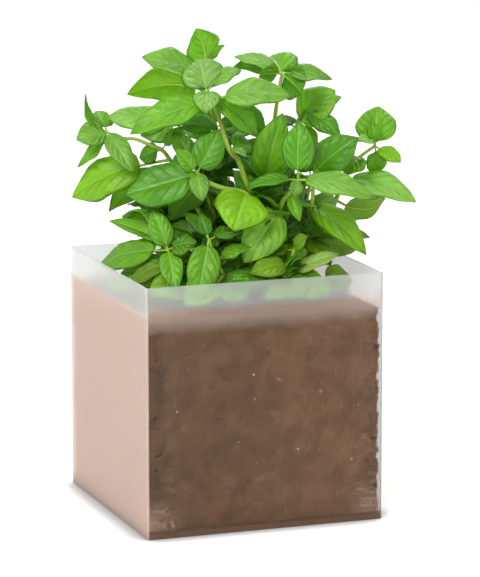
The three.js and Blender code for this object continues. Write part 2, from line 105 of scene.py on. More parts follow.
class Wire:
    """One output of a node. Python's operators on wires add Math or Vector Math nodes to their tree."""

    def __init__(self, nodes, socket):
        self.nodes = nodes
        self.socket = socket

    def __getitem__(self, name):
        return Wire(self.nodes, self.socket.node.outputs[name])

    __add__, __radd__ = adds("ADD"), adds_reflected("ADD")
    __sub__, __rsub__ = adds("SUBTRACT"), adds_reflected("SUBTRACT")
    __mul__, __rmul__ = adds("MULTIPLY"), adds_reflected("MULTIPLY")
    __truediv__, __pow__, __abs__ = adds("DIVIDE"), adds("POWER"), adds("ABSOLUTE")
    sine, fraction, sign = adds("SINE"), adds("FRACT"), adds("SIGN")
    at_least, at_most = adds("MAXIMUM"), adds("MINIMUM")
    over = adds("GREATER_THAN")  # 1 where the value is over a limit, and 0 elsewhere
    unit = adds("NORMALIZE")

    def parts(self):
        """The three numbers of a vector."""
        split = self.nodes.add("ShaderNodeSeparateXYZ", {}, {"Vector": self})
        return split["X"], split["Y"], split["Z"]

    def eased(self, start, end, low=0.0, high=1.0):
        """Goes smoothly from low to high while the value goes from start to end."""
        ends = {"Value": self, "From Min": start, "From Max": end, "To Min": low, "To Max": high}
        return self.nodes.add("ShaderNodeMapRange", {"interpolation_type": "SMOOTHSTEP"}, ends)


class Nodes:
    """Writes the nodes of one tree."""

    def __init__(self, tree):
        self.tree = tree

    def add(self, kind, settings={}, inputs={}):
        """Adds a node with its settings first, then its inputs by name, identifier or number."""
        node = self.tree.nodes.new(kind)
        for name, value in settings.items():
            setattr(node, name, value)
        for key, value in inputs.items():
            self.plug(self.socket(node, key), value)
        return Wire(self, next(s for s in node.outputs if s.enabled)) if node.outputs else node

    def socket(self, node, key):
        if isinstance(key, int):
            return node.inputs[key]
        return next(s for s in node.inputs if s.enabled and key in (s.name, s.identifier))

    def plug(self, socket, value):
        if isinstance(value, Wire):
            self.tree.links.new(value.socket, socket)
        elif socket.type == "RGBA":
            socket.default_value = (*value, 1)
        elif socket.type == "VECTOR" and isinstance(value, (int, float)):
            socket.default_value = (value, value, value)
        else:
            socket.default_value = value

    def math(self, operation, *terms):
        """Adds a Math node, or a Vector Math node where a term is a vector or a colour."""
        vectors = [t for t in terms if isinstance(t, (tuple, Vector)) or is_vector(t)]
        kind = "ShaderNodeVectorMath" if vectors else "ShaderNodeMath"
        return self.add(kind, {"operation": operation}, dict(enumerate(terms)))

    def mix(self, factor, first, second):
        """Goes from the first colour to the second."""
        return self.add("ShaderNodeMix", {"data_type": "RGBA"}, {"Factor": factor, "A": first, "B": second})

    def noise(self, place, scale, detail=2.0, roughness=0.5):
        ends = {"Vector": place, "Scale": scale, "Detail": detail, "Roughness": roughness}
        return self.add("ShaderNodeTexNoise", {}, ends)


def is_vector(term):
    return isinstance(term, Wire) and term.socket.type in ("VECTOR", "RGBA")


class GeometryNodes(Nodes):
    """Writes a geometry tree, whose sizes are named inputs."""

    def __init__(self, name, sizes):
        super().__init__(bpy.data.node_groups.new(name, "GeometryNodeTree"))
        face = self.tree.interface
        face.new_socket(name="Geometry", in_out="INPUT", socket_type="NodeSocketGeometry")
        face.new_socket(name="Geometry", in_out="OUTPUT", socket_type="NodeSocketGeometry")
        for size, value in sizes.items():
            kind = "NodeSocketInt" if isinstance(value, int) else "NodeSocketFloat"
            face.new_socket(name=size, in_out="INPUT", socket_type=kind).default_value = value
        self.entry = self.add("NodeGroupInput")
        self.source = self.entry["Geometry"]
        self.place = self.add("GeometryNodeInputPosition")

    def size(self, name):
        return self.entry[name]

    def read(self, name, kind="FLOAT"):
        wire = self.add("GeometryNodeInputNamedAttribute", {"data_type": kind}, {"Name": name})
        return wire["Attribute"]

    def store(self, geometry, name, value, kind="FLOAT", domain="POINT"):
        settings = {"data_type": kind, "domain": domain}
        return self.add("GeometryNodeStoreNamedAttribute", settings,
                        {"Geometry": geometry, "Name": name, "Value": value})

    def mark(self, geometry, part):
        """Gives every face the number of the part that it belongs to."""
        return self.store(geometry, "part", part, domain="FACE")

    def move(self, geometry, **where):
        ends = {"Geometry": geometry, **{name.title(): value for name, value in where.items()}}
        return self.add("GeometryNodeSetPosition", {}, ends)

    def join(self, *geometries):
        wire = self.add("GeometryNodeJoinGeometry")
        for geometry in reversed(geometries):
            self.plug(wire.socket.node.inputs[0], geometry)
        return wire

    def copies(self, points, instance, **ends):
        ends = {"Points": points, "Instance": instance, **{k.title(): v for k, v in ends.items()}}
        return self.add("GeometryNodeInstanceOnPoints", {}, ends)

    def realized(self, geometry):
        return self.add("GeometryNodeRealizeInstances", {}, {"Geometry": geometry})

    def straight_line(self, steps):
        """A line of length 1 along X."""
        line = self.add("GeometryNodeCurvePrimitiveLine", {}, {"End": (1, 0, 0)})
        return self.add("GeometryNodeResampleCurve", {}, {"Curve": line, "Count": steps})

    def tube(self, curve, radius, sides):
        """A round tube with closed ends along a curve."""
        ring = self.add("GeometryNodeCurvePrimitiveCircle", {}, {"Resolution": sides, "Radius": 1.0})
        ends = {"Curve": curve, "Profile Curve": ring, "Scale": radius, "Fill Caps": True}
        return self.add("GeometryNodeCurveToMesh", {}, ends)

    def chance(self, low, high, seed):
        """A random number from low to high for each element, always the same for the same seed."""
        return self.add("FunctionNodeRandomValue", {"data_type": "FLOAT"},
                        {"Min": low, "Max": high, "Seed": seed})

    def deliver(self, geometry, finishes):
        """Ends the tree: real meshes, each part in its material. The part number is a face attribute, and a
        later material covers an earlier one on the parts from its own number on."""
        geometry = self.realized(geometry)
        part = self.read("part")
        for number, material in enumerate(finishes):
            ends = {"Geometry": geometry, "Selection": part.over(number - 0.5), "Material": material}
            geometry = self.add("GeometryNodeSetMaterial", {}, ends)
        self.add("NodeGroupOutput", {}, {"Geometry": geometry})


def plain_mesh(name, source, nodes):
    """Runs a geometry tree on a mesh and keeps what it makes as an ordinary mesh."""
    holder = bpy.data.objects.new(name, source)
    bpy.context.scene.collection.objects.link(holder)
    modifier = holder.modifiers.new(nodes.tree.name, "NODES")
    modifier.node_group = nodes.tree
    graph = bpy.context.evaluated_depsgraph_get()
    mesh = bpy.data.meshes.new_from_object(holder.evaluated_get(graph))
    bpy.data.objects.remove(holder)
    return mesh


def piece(name, mesh, node):
    """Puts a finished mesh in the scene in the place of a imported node."""
    mesh.name = name
    made = bpy.data.objects.new(name, mesh)
    bpy.context.scene.collection.objects.link(made)
    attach(made, "root")
    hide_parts(node)


# ---- The leafy stems ----
# A stem rises from `root`, its place on the soil in the pot's own millimetres, along `path` to its growing
# tip, and thins from `thick` to `thin` (diameters). A leaf grows at the path's spot number `at`, counted
# from 1, and ends at `tip`. `turn` is how far its upper face is turned from the viewer (0) to the sky (90)
# and on to the back (180), in degrees, and `look` is its colour by age, with painted light and shade in it:
# leaves that stand lit or in shadow take lighter or darker looks. `arch` is how high its midrib bends
# and `stalk` how much of it is bare stalk, both as shares of its length.
class Leaf(NamedTuple):
    at: int
    tip: tuple
    width: float
    look: str
    turn: float
    arch: float
    stalk: float


class Stem(NamedTuple):
    name: str
    thick: float
    thin: float
    root: tuple
    path: list
    leaves: list
    pairs: list = []
    crowded: int = 2  # up to this spot of its path a stem stands in the crowd and bears small side shoots


def leaf(at, tip, width, look, turn=40, arch=0.1, stalk=0.16):
    return Leaf(at, tip, width, look, turn, arch, stalk)


def inner_pair(at, spin, length=30):
    """Two leaves hidden inside the plant, at a path spot: `spin` is their compass angle in degrees."""
    return at, spin, length


SEEN_STEMS = [
    Stem(
        "crown", thick=3.6, thin=2, root=(14, -16),
        path=[(266, 240, 22), (262, 208, 24), (248, 186, 26), (238, 160, 24), (229, 149, 22),
              (219, 118, 18), (213, 100, 16), (207, 92, 16)],
        leaves=[
            leaf(8, (199, 58, 0), 26, "young", turn=5, stalk=0.06),
            leaf(8, (206, 114, 34), 16, "young", turn=0, stalk=0.06),
            leaf(8, (126, 95, -6), 28, "lime", turn=130, arch=0.14, stalk=0.2),
            leaf(8, (242, 70, 4), 15, "sunny", turn=50, arch=0.16),
            leaf(7, (292, 97, 22), 25, "sunny", turn=50, arch=0.1),
            leaf(7, (129, 135, 28), 27, "glossy", turn=48, arch=0.05),
            leaf(7, (258, 138, 14), 20, "glossy", turn=45, stalk=0.08),
            leaf(5, (247, 157, 32), 8, "young", turn=60),
            leaf(5, (218, 143, 18), 6, "young", turn=60),
            leaf(5, (251, 146, 6), 15, "deep", turn=30),
        ],
        pairs=[inner_pair(1, -30, 22)],
        crowded=3,
    ),
    Stem(
        "top", thick=3.2, thin=1.8, root=(12, 18),
        path=[(230, 230, -16), (224, 170, -18), (214, 120, -18), (208, 94, -18), (206, 76, -16),
              (207, 64, -14)],
        leaves=[
            leaf(6, (196, 28, -24), 23, "grown", turn=150, stalk=0.08),
            leaf(6, (225, 45, -6), 9, "grown", turn=60),
            leaf(5, (141, 57, -13), 27, "sunny", turn=50, arch=0.04, stalk=0.2),
            leaf(4, (267, 136, -16), 20, "deep", turn=45, stalk=0.3),
        ],
        pairs=[inner_pair(1, 80, 26), inner_pair(2, -20, 22)],
        crowded=3,
    ),
    Stem(
        "upper_right", thick=3.2, thin=1.9, root=(27, 3),
        path=[(268, 220, -12), (272, 160, -10), (275, 118, -6), (278, 96, -3), (282, 74, 0)],
        leaves=[
            leaf(5, (259, 76, 10), 13, "grown", turn=140),
            leaf(5, (301, 93, 12), 22, "deep", turn=150, stalk=0.08),
            leaf(5, (233, 57, -4), 15, "young", turn=60),
            leaf(5, (232, 68, -16), 16, "deep", turn=120),
            leaf(5, (265, 60, -34), 27, "grown", turn=38, stalk=0.05),
            leaf(5, (312, 64, -18), 12, "pale", turn=72, arch=0.02),
            leaf(5, (333, 80, 2), 16, "sunny", turn=55),
        ],
        pairs=[inner_pair(1, 80, 22), inner_pair(2, -60)],
    ),
    Stem(
        "left_tip", thick=3.2, thin=1.6, root=(-4, 4),
        path=[(212, 245, 0), (194, 200, 2), (176, 170, 6), (170, 160, 8), (162, 150, 8),
              (150, 145, 6), (135, 139, 4), (120, 138, 2), (107, 132, 0)],
        leaves=[
            leaf(9, (86, 93, 8), 11, "grown", turn=72, arch=-0.2),
            leaf(9, (96, 111, -16), 14, "grown", turn=30),
            leaf(9, (76, 140, 8), 17, "sunny", turn=20, stalk=0.08),
            leaf(9, (77, 168, 2), 11, "grown", turn=50, arch=-0.05),
            leaf(9, (134, 173, 22), 13, "sunny", turn=10, stalk=0.08),
            leaf(4, (71, 198, -6), 31, "lime", turn=40, stalk=0.26),
            leaf(5, (139, 158, 2), 14, "deep", turn=30),
            leaf(5, (184, 126, 6), 9, "glossy", turn=40),
            leaf(3, (108, 213, -8), 26, "grown", turn=120),
        ],
        pairs=[inner_pair(1, -50), inner_pair(2, -80)],
        crowded=1,
    ),
    Stem(
        "left_front", thick=3.6, thin=2.2, root=(0, -34),
        path=[(256, 240, 36), (258, 214, 38), (246, 194, 40), (222, 188, 42), (206, 181, 44),
              (197, 173, 46)],
        leaves=[
            leaf(6, (220, 130, 36), 19, "deep", turn=0, stalk=0.1),
            leaf(6, (124, 194, 40), 31, "deep", turn=35, arch=-0.03, stalk=0.1),
            leaf(6, (175, 149, 50), 11, "glossy", turn=20),
            leaf(6, (203, 202, 62), 12, "sunny", turn=0, stalk=0.06),
            leaf(6, (186, 178, 52), 5, "glossy", turn=40),
            leaf(6, (173, 131, 24), 13, "shaded", turn=20),
            leaf(5, (170, 222, 30), 21, "shaded", turn=140),
            leaf(3, (234, 232, 66), 32, "lime", turn=0, stalk=0.06),
        ],
    ),
    Stem(
        "low_left", thick=3, thin=2, root=(-25, -33),
        path=[(194, 278, 46), (180, 262, 50), (168, 250, 52)],
        leaves=[
            leaf(3, (100, 264, 3), 23, "grown", turn=45, arch=0.05),
            leaf(3, (177, 291, 72), 14, "glossy", turn=0, stalk=0.08),
            leaf(3, (137, 208, 38), 8, "grown", turn=60),
            leaf(3, (152, 209, 44), 14, "glossy", turn=10, stalk=0.1),
            leaf(3, (198, 243, 58), 17, "shaded", turn=45),
            leaf(3, (108, 221, 24), 13, "grown", turn=130),
            leaf(3, (136, 237, 30), 5, "grown", turn=60),
            leaf(2, (128, 285, 40), 16, "olive", turn=50),
            leaf(1, (118, 276, 18), 24, "fresh", turn=40),
            leaf(1, (106, 290, 14), 24, "fresh", turn=50),
            leaf(1, (148, 296, 58), 22, "lime", turn=30),
            leaf(1, (170, 302, 68), 19, "glossy", turn=30),
        ],
        pairs=[inner_pair(1, -30)],
    ),
    Stem(
        "low_front", thick=3, thin=2, root=(-12, -50),
        path=[(222, 274, 58), (212, 252, 60), (209, 240, 60)],
        leaves=[
            leaf(3, (197, 304, 74), 19, "grown", turn=0, stalk=0.1),
            leaf(3, (200, 213, 50), 9, "deep", turn=10),
            leaf(3, (242, 232, 50), 14, "shaded", turn=60),
            leaf(3, (184, 212, 44), 9, "shaded", turn=40),
            leaf(1, (184, 308, 72), 20, "lime", turn=20),
            leaf(1, (244, 302, 68), 24, "glossy", turn=20),
            leaf(1, (206, 288, 70), 16, "olive", turn=60),
        ],
    ),
    Stem(
        "mid_right", thick=3.4, thin=2.2, root=(24, -31),
        path=[(281, 250, 30), (280, 209, 36), (290, 192, 40), (298, 180, 42)],
        leaves=[
            leaf(4, (245, 190, 46), 13, "deep", turn=60),
            leaf(4, (374, 199, 52), 20, "sunny", turn=50, stalk=0.1),
            leaf(4, (294, 197, 56), 8, "sunny", turn=0),
            leaf(4, (300, 120, 36), 19, "deep", turn=10),
            leaf(4, (320, 143, 26), 13, "shaded", turn=40),
            leaf(3, (262, 204, 30), 14, "shaded", turn=130),
            leaf(3, (300, 222, 50), 8, "grown", turn=0),
            leaf(2, (243, 264, 56), 25, "fresh", turn=0, stalk=0.08),
        ],
    ),
    Stem(
        "mid_upright", thick=3.2, thin=2, root=(19, -2),
        path=[(266, 250, 8), (268, 215, 12), (266, 182, 14)],
        leaves=[
            leaf(3, (283, 112, 24), 23, "grown", turn=10, stalk=0.08),
            leaf(1, (224, 254, 30), 15, "fresh", turn=60),
            leaf(3, (244, 150, 0), 20, "deep", turn=30),
            leaf(3, (292, 158, -4), 18, "shaded", turn=30),
            leaf(2, (238, 196, -4), 20, "shaded", turn=40),
        ],
        pairs=[inner_pair(1, 10), inner_pair(2, -70)],
        crowded=3,
    ),
    Stem(
        "right", thick=3.4, thin=2, root=(38, -18),
        path=[(306, 240, 12), (312, 205, 14), (314, 173, 10)],
        leaves=[
            leaf(2, (367, 256, 40), 20, "lime", turn=30, stalk=0.06),
            leaf(3, (359, 137, 14), 23, "deep", turn=20, stalk=0.1),
            leaf(1, (330, 262, 30), 16, "olive", turn=50),
            leaf(1, (357, 250, 2), 17, "olive", turn=45, arch=0.04, stalk=0.3),
        ],
        pairs=[inner_pair(1, -80)],
    ),
    Stem(
        "far_right", thick=3.2, thin=1.6, root=(49, -3),
        path=[(322, 235, -12), (336, 200, -10), (343, 180, -8), (352, 164, -6), (362, 155, -4),
              (375, 146, -2)],
        leaves=[
            leaf(6, (378, 106, -14), 24, "grown", turn=10, stalk=0.1),
            leaf(6, (371, 119, 8), 8, "grown", turn=10),
            leaf(6, (401, 163, 6), 14, "lime", turn=50, arch=0.04),
            leaf(6, (376, 174, -10), 14, "glossy", turn=20),
            leaf(6, (356, 142, 10), 10, "young", turn=60, arch=0.2),
            leaf(5, (346, 176, 6), 18, "glossy", turn=40),
            leaf(3, (417, 203, 14), 25, "young", turn=50, stalk=0.1),
            leaf(2, (386, 198, -24), 26, "olive", turn=120, arch=-0.2),
            leaf(1, (371, 238, -20), 14, "olive", turn=60),
        ],
        pairs=[inner_pair(1, 60)],
    ),
    Stem(
        "upper_mid_right", thick=3, thin=1.8, root=(42, 14),
        path=[(290, 230, -24), (293, 170, -22), (296, 128, -18), (304, 110, -16)],
        leaves=[
            leaf(3, (336, 90, -18), 31, "fresh", turn=42),
            leaf(3, (318, 148, -8), 15, "olive", turn=140),
            leaf(4, (341, 138, 2), 14, "deep", turn=30),
            leaf(4, (342, 97, -28), 10, "young", turn=20),
            leaf(3, (272, 120, -30), 16, "shaded", turn=60),
        ],
        pairs=[inner_pair(1, -70, 26), inner_pair(2, 80)],
    ),
    Stem(
        "low_right", thick=2.8, thin=1.9, root=(20, -47),
        path=[(284, 280, 44), (290, 264, 46), (294, 250, 46)],
        leaves=[
            leaf(1, (340, 254, 46), 11, "pale", turn=40, stalk=0.28),
            leaf(1, (353, 281, 28), 18, "olive", turn=10, stalk=0.55),
            leaf(2, (249, 274, 60), 15, "olive", turn=30),
            leaf(1, (212, 287, 68), 18, "shaded", turn=45, stalk=0.24),
            leaf(3, (264, 256, 34), 12, "olive", turn=50),
            leaf(3, (308, 236, 50), 12, "olive", turn=50),
            leaf(1, (264, 300, 60), 20, "lime", turn=20),
            leaf(1, (304, 298, 54), 22, "glossy", turn=20),
            leaf(1, (332, 293, 42), 20, "lime", turn=30),
        ],
    ),
    Stem(
        "upper_left", thick=3, thin=1.8, root=(-8, 20),
        path=[(216, 230, -14), (200, 175, -12), (186, 140, -8), (178, 124, -6)],
        leaves=[
            leaf(4, (106, 117, -2), 25, "young", turn=50, arch=0.04),
            leaf(4, (219, 129, 8), 15, "deep", turn=40),
            leaf(4, (140, 136, 2), 20, "young", turn=20),
        ],
        pairs=[inner_pair(1, -80, 22), inner_pair(2, -90)],
    ),
]

# Behind and between those leaves the plant follows basil's own rule: leaves in opposite pairs, each pair a
# quarter turn round from the last, and smaller towards the tip. `lean` is how far a hidden stem's tip stands
# out from its root, and `size` scales its leaves.
class HiddenStem(NamedTuple):
    name: str
    root: tuple
    lean: tuple
    height: float
    spin: float
    size: float


HIDDEN_STEMS = [
    HiddenStem("back_left", (-20, 32), (-8, 10), height=50, spin=-70, size=0.85),
    HiddenStem("back_middle", (8, 44), (6, 12), height=84, spin=-40, size=1),
    HiddenStem("back_right", (35, 37), (8, 14), height=74, spin=40, size=1),
    HiddenStem("back_far_right", (59, 31), (12, 14), height=54, spin=10, size=0.85),
    HiddenStem("low_back_left", (-15, 60), (-4, 8), height=42, spin=50, size=0.7),
    HiddenStem("low_back_right", (28, 59), (-6, 10), height=44, spin=-20, size=0.8),
]
HIDDEN_THICK, HIDDEN_THIN = 3.2, 1.8
PAIR_HEIGHTS = [0.42, 0.64, 0.84, 1]  # where they grow on a hidden stem, as shares of its height
PAIR_LENGTHS = [34, 36, 32, 24]
PAIR_LIFTS = [12, 10, 22, 38]  # how far each leaf points up from level, in degrees
PAIR_LOOKS = ["deep", "grown", "glossy", "young"]
PAIR_UNEVEN = 0.12  # share by which the lengths differ
PAIR_ROLL = 0.7  # how far a blade may tip sideways, as a slope
PAIR_WIDTH = 0.6  # a blade's width as a share of its length
PAIR_ARCH, PAIR_STALK, PAIR_SUNK = 0.12, 0.16, 0.4
INNER_LIFT = 14
# the hidden inner leaves take the darkened 'shaded' look: painted shade inside the plant
INNER_LOOK = "shaded"
SHOOTS = [0.1, 0.35, 0.6, 0.85]  # where side shoots sit between two spots of a path
SHOOT_LENGTHS = (13, 23)  # of their leaves, from the shortest to the longest
SHOOT_LIFTS = (5, 55)
SHOOT_REACH = 64  # how far in mm their tips may stand from the pot's middle, to stay inside its walls
# side shoots in the crowd take the darker looks, partly painted shade inside the plant
SHOOT_LOOKS = ["shaded", "deep", "grown"]
HIDDEN_CROWDED = 3  # up to this spot a hidden stem bears side shoots
INNER_SEED, TINT_SEED, TWIST_SEED, SHOOT_SEED, HIDDEN_SHOOT_SEED = 100, 1000, 3000, 5000, 9000

STEM_FOOT = 108.4  # where a stem ends inside the soil

# Leaf colours in linear light, by age and with painted light and shade: 'sunny' is whitened with a painted
# sheen, 'shaded' is darkened with painted shade, and 'deep' is a darker green that is partly painted shade.
LEAF_LOOKS = {
    "young": (0.330, 0.590, 0.120),
    "pale": (0.420, 0.580, 0.120),
    "lime": (0.280, 0.580, 0.002),
    "fresh": (0.290, 0.580, 0.040),
    "sunny": (0.240, 0.495, 0.060),
    "glossy": (0.195, 0.500, 0.016),
    "grown": (0.185, 0.480, 0.005),
    "deep": (0.115, 0.390, 0.004),
    "shaded": (0.100, 0.300, 0.003),
    "olive": (0.230, 0.410, 0.006),
}
STEM_LOOK = (0.260, 0.400, 0.030)


def scatter(seed):
    """A number from 0 to 1 that looks random but is always the same for the same seed."""
    value = math.sin(seed * 12.9898 + 4.1414) * 43758.5453
    return value - math.floor(value)


class GrownLeaf(NamedTuple):
    """A leaf in place: its base and tip in mm, and the unit vectors across it and out of its upper face."""
    base: Vector
    tip: Vector
    across: Vector
    face: Vector
    width: float
    look: str
    arch: float
    stalk: float


def place_leaf(base, tip, toward, turn, width, look, arch, stalk):
    along = (tip - base).normalized()
    facing = (toward - along * toward.dot(along)).normalized()
    skyward = along.cross(facing)
    if skyward.z < 0:
        skyward.negate()
    angle = math.radians(turn)
    face = facing * math.cos(angle) + skyward * math.sin(angle)
    return GrownLeaf(base, tip, face.cross(along), face, width, look, arch, stalk)


def leaf_pair(base, spin, lift, length, seed, look):
    leaves = []
    for side in (0, 1):
        angle, rise = math.radians(spin + 180 * side), math.radians(lift)
        long = length * (1 + PAIR_UNEVEN * (2 * scatter(seed + side) - 1))
        outward = Vector((math.cos(angle), math.sin(angle), 0))
        sideways = SKY.cross(outward)
        tip = base + outward * long * math.cos(rise) + SKY * long * math.sin(rise)
        toward = SKY + sideways * PAIR_ROLL * (2 * scatter(seed + side + 0.5) - 1)
        root = base + outward * PAIR_SUNK
        leaves.append(place_leaf(root, tip, toward, 0, long * PAIR_WIDTH, look, PAIR_ARCH, PAIR_STALK))
    return leaves


def side_shoots(points, last, seed):
    """Small leaf pairs in the crowd, spread along a stem's path from the soil up to a spot."""
    leaves = []
    for at in range(last):
        for share in SHOOTS:
            seed += 3
            base = points[at].lerp(points[at + 1], share)
            shortest, longest = SHOOT_LENGTHS
            lowest, highest = SHOOT_LIFTS
            length = shortest + (longest - shortest) * scatter(seed)
            lift = lowest + (highest - lowest) * scatter(seed + 0.3)
            look = SHOOT_LOOKS[int(len(SHOOT_LOOKS) * scatter(seed + 0.6))]
            pair = leaf_pair(base, 360 * scatter(seed + 0.9), lift, length, seed, look)
            leaves += [small for small in pair if max(abs(small.tip.x), abs(small.tip.y)) < SHOOT_REACH]
    return leaves


def soil_spot(root):
    return Vector((*root, SOIL_TOP))


def grow_seen(row, index):
    """The path points and the leaves of a stem that the photograph shows."""
    points = [soil_spot(row.root)] + [spot(*p) for p in row.path]
    leaves = [
        place_leaf(points[at], spot(*tip), TO_VIEWER, turn, width, look, arch, stalk)
        for at, tip, width, look, turn, arch, stalk in row.leaves
    ]
    for at, spin, length in row.pairs:
        seed = INNER_SEED + 10 * index + 2 * at
        leaves += leaf_pair(points[at], spin, INNER_LIFT, length, seed, INNER_LOOK)
    return points, leaves + side_shoots(points, row.crowded, SHOOT_SEED + 200 * index)


def grow_hidden(row, index):
    base = soil_spot(row.root)

    def at(h):
        return base + Vector((row.lean[0] * h * h, row.lean[1] * h * h, row.height * h))

    leaves = []
    for pair, h in enumerate(PAIR_HEIGHTS):
        leaves += leaf_pair(at(h), row.spin + 90 * pair, PAIR_LIFTS[pair],
                            row.size * PAIR_LENGTHS[pair], 10 * index + 2 * pair, PAIR_LOOKS[pair])
    points = [base] + [at(h) for h in PAIR_HEIGHTS]
    return points, leaves + side_shoots(points, HIDDEN_CROWDED, HIDDEN_SHOOT_SEED + 200 * index)


# ---- The shape of a blade, as rules that its geometry and its finish share ----
VEIN_PAIRS = 5.5
VEIN_SWEEP, VEIN_CURVE = 0.26, 0.20  # how far a side vein runs forward by the blade's edge
VEIN_STAGGER = 0.2
BELLY_PLACE = 0.76  # under 1, so that a blade is widest nearer to its stalk
EDGE_FULLNESS, TIP_TAPER = 0.44, 0.42  # powers that fill the outline out, and draw its tip in


def vein_phase(u, b):
    """Counts the side veins: whole numbers lie on a vein, at u of the half width and b of the length."""
    reach = abs(u)
    return (b - reach * VEIN_SWEEP - reach * reach * VEIN_CURVE) * VEIN_PAIRS + u.sign() * VEIN_STAGGER


def vein_gap(u, b):
    """How far a spot is from the nearest side vein: 0 on it and 0.5 half way to the next."""
    return abs((vein_phase(u, b) + 0.5).fraction() - 0.5)


def outline(b):
    """Half of a blade's width at share b of its length, as a share of its greatest half width."""
    belly = (b ** BELLY_PLACE * math.pi).sine().at_least(0)
    return belly ** (b * TIP_TAPER + EDGE_FULLNESS)


# ---- The geometry tree of a leafy stem ----
STEM_PART, UPPER_PART, UNDER_PART = 0, 1, 2
BLADE_THICKNESS = 0.35 * MM
BLADE_FIT = 0.988  # keeps a blade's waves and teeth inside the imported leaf's length and width
BLADE_GRID = (21, 31)  # vertices of a blade's grid, across and along it
SHOOT_GRID = (11, 17)  # and of the small blades of side shoots
SHOOT_LONGEST = 24 * MM
PUFF_FULLNESS = 0.6
WAVES, WAVE_LEAN = 11, 1.3  # radians of the rim's wave along the blade, and across half of it
TEETH, TOOTH_DEPTH = 70, 0.012  # radians of the teeth along the blade, and their depth as a share
TWIST_START = 0.4
SAME_SPOT = 0.002 * MM
STEM_SIDES, RIB_SIDES, RIB_STEPS = 12, 8, 16
RIB_REACH, RIB_TAPER = 0.97, 0.85  # how much of its leaf a rib runs along, and how much it thins
RIB_SUNK = 0.6  # how deep it lies under the blade, in its own radii
TIP_HALF_WIDTH = 0.15 * MM
VECTORS = ["base", "along", "across", "face"]
NUMBERS = ["long", "wide", "arch", "stalk", "cup", "twist", "phase", "rib"]


class LeafWires:
    """The attributes of a leaf as wires."""

    def __init__(self, nodes):
        for name in VECTORS:
            setattr(self, name, nodes.read(name, "FLOAT_VECTOR"))
        for name in NUMBERS:
            setattr(self, name, nodes.read(name))


def midrib(leaf, share):
    """The spot on the midrib at a share of the leaf's whole length, and the blade's normal there."""
    rise = leaf.arch * leaf.long * share * (1 - share) * 4
    slope = leaf.arch * (1 - share * 2) * 4
    spine = leaf.base + leaf.along * (leaf.long * share) + leaf.face * rise
    return spine, (leaf.face - leaf.along * slope).unit()


def blade_spot(leaf, u, b, side, nodes):
    """The spot on one face of a blade. Each half is domed, puffed up between its veins and waved."""
    reach = abs(u)
    spine, normal = midrib(leaf, leaf.stalk + (BLADE_FIT - leaf.stalk) * b)
    half = (leaf.wide * 0.5 * outline(b)).at_least(TIP_HALF_WIDTH)
    dome = reach * (1 - reach) * nodes.size("Dome") * 4
    puff = abs((vein_phase(u, b) * math.pi).sine()) ** PUFF_FULLNESS
    fade = (1 - reach ** 4) * (b * (1 - b) * 4).at_least(0) ** 0.5
    wave = (b * WAVES + leaf.phase + u * WAVE_LEAN).sine() * reach * reach * nodes.size("Wave")
    lift = dome + leaf.cup * reach + puff * fade * nodes.size("Puff") * reach.at_most(0.5) * 2 + wave
    teeth = BLADE_FIT + (b * TEETH + leaf.phase).sine() * TOOTH_DEPTH * reach
    rim = (1 - reach).at_most(b).at_most(1 - b).over(0.001)
    roll = leaf.across + normal * (leaf.twist * (b - TWIST_START))
    return spine + roll * (u * half * teeth) + normal * (half * lift + side * rim * BLADE_THICKNESS * 0.5)


def blade_grid(nodes, side, part, across, along):
    """A flat grid that holds u, b and the side of every spot of a blade."""
    ends = {"Size X": 2.0, "Size Y": 1.0, "Vertices X": across, "Vertices Y": along}
    grid = nodes.add("GeometryNodeMeshGrid", {}, ends)["Mesh"]
    grid = nodes.store(grid, "blade", nodes.place + (0, 0.5, side), "FLOAT_VECTOR")
    grid = nodes.mark(grid, part)
    return grid if side > 0 else nodes.add("GeometryNodeFlipFaces", {}, {"Mesh": grid})


def both_faces(nodes, grid):
    return nodes.join(blade_grid(nodes, 1, UPPER_PART, *grid), blade_grid(nodes, -1, UNDER_PART, *grid))


def blades(nodes, points, leaf):
    ends = {"Geometry": points, "Selection": leaf.long.over(SHOOT_LONGEST)}
    split = nodes.add("GeometryNodeSeparateGeometry", {}, ends)
    large = nodes.copies(split["Selection"], both_faces(nodes, BLADE_GRID))
    small = nodes.copies(split["Inverted"], both_faces(nodes, SHOOT_GRID))
    sheets = nodes.realized(nodes.join(large, small))
    u, b, side = nodes.read("blade", "FLOAT_VECTOR").parts()
    shaped = nodes.move(sheets, position=blade_spot(leaf, u, b, side, nodes))
    return nodes.add("GeometryNodeMergeByDistance", {}, {"Geometry": shaped, "Distance": SAME_SPOT})


def ribs(nodes, points, leaf):
    """Each leaf's stalk, which runs on as the midrib under its blade and thins to nothing."""
    line = nodes.store(nodes.straight_line(RIB_STEPS), "share", nodes.place.parts()[0])
    lines = nodes.realized(nodes.copies(points, line))
    share = nodes.read("share")
    spine, normal = midrib(leaf, share * RIB_REACH)
    radius = leaf.rib * (1 - share * RIB_TAPER)
    under = share.eased(0, leaf.stalk + 0.05) * -RIB_SUNK
    lines = nodes.move(lines, position=spine + normal * (radius * under))
    return nodes.tube(lines, radius, RIB_SIDES)


def stem_tube(nodes, path):
    curve = nodes.add("GeometryNodeMeshToCurve", {}, {"Mesh": path})
    curve = nodes.add("GeometryNodeCurveSplineType", {"spline_type": "CATMULL_ROM"}, {"Curve": curve})
    curve = nodes.add("GeometryNodeResampleCurve", {}, {"Curve": curve, "Count": nodes.size("Steps")})
    return nodes.tube(curve, nodes.read("girth"), STEM_SIDES)


